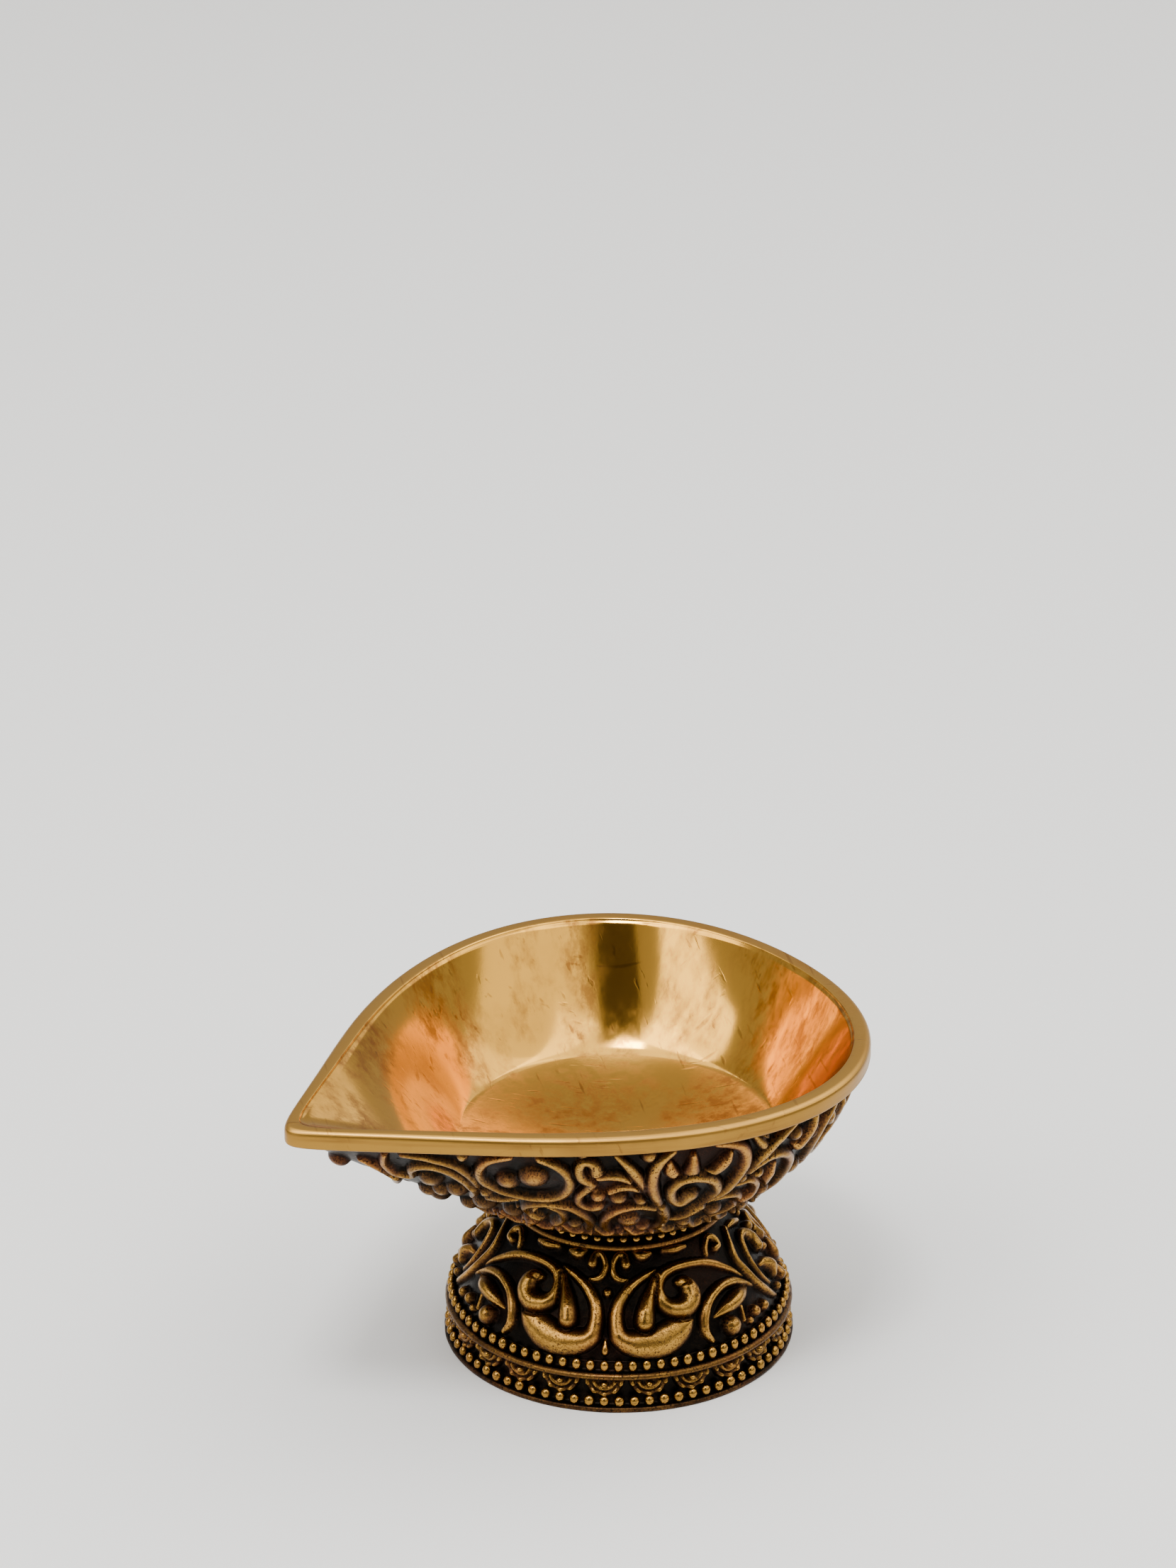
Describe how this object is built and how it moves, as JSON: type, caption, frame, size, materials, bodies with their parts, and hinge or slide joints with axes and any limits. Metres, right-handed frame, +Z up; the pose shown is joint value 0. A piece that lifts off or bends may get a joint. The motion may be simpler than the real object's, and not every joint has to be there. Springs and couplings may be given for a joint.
{
  "type": "diya oil lamp",
  "caption": "Small footed oil lamp: a drop-shaped brass bowl with a pinched beak for the wick, on a round hollow foot with cast scroll relief.",
  "frame": {"origin": "centre of the foot's underside, on the surface the lamp stands on", "axes": "+Z up along the foot's axis; the beak points along -X; the bowl is symmetric about the XZ plane"},
  "size_m": [0.1084, 0.0868, 0.0595],
  "materials": {
    "polished_brass": "hand polished, mirror-like, with fine scratches and faint stains",
    "antique_brass": "dark patina in the ground, satin worn brass on the high points",
    "plated_steel": "zinc plated"
  },
  "bodies": {
    "root": {"bowl": "polished_brass", "neck_collar": "antique_brass", "foot": "antique_brass", "fixing_stud": "plated_steel", "washer": "plated_steel", "hex_nut": "plated_steel"}
  },
  "joints": []
}
